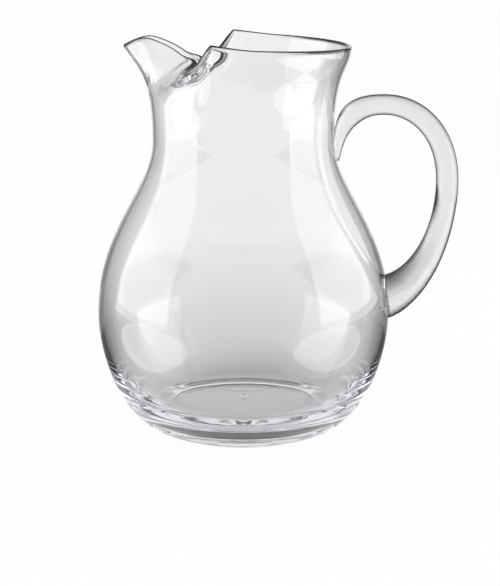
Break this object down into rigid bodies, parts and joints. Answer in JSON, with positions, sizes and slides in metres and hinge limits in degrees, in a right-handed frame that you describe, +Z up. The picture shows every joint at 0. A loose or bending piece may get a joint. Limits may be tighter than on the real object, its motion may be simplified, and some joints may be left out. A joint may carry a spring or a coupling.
{
  "type": "glass pitcher",
  "caption": "Round-bellied clear glass pitcher with a pinched ice lip, a pulled spout and an applied rod handle, for serving iced drinks.",
  "frame": {"origin": "on the body's axis at table level, in the middle of the ring that the pitcher stands on", "axes": "+Z up along the body's axis, +X towards the handle, -X towards the spout"},
  "size_m": [0.2131, 0.1744, 0.2311],
  "materials": {
    "vessel_glass": "clear blown glass, fire-polished rim",
    "handle_glass": "clear drawn glass rod, fire-polished"
  },
  "bodies": {
    "root": {"vessel": "vessel_glass", "handle": "handle_glass"}
  },
  "joints": []
}
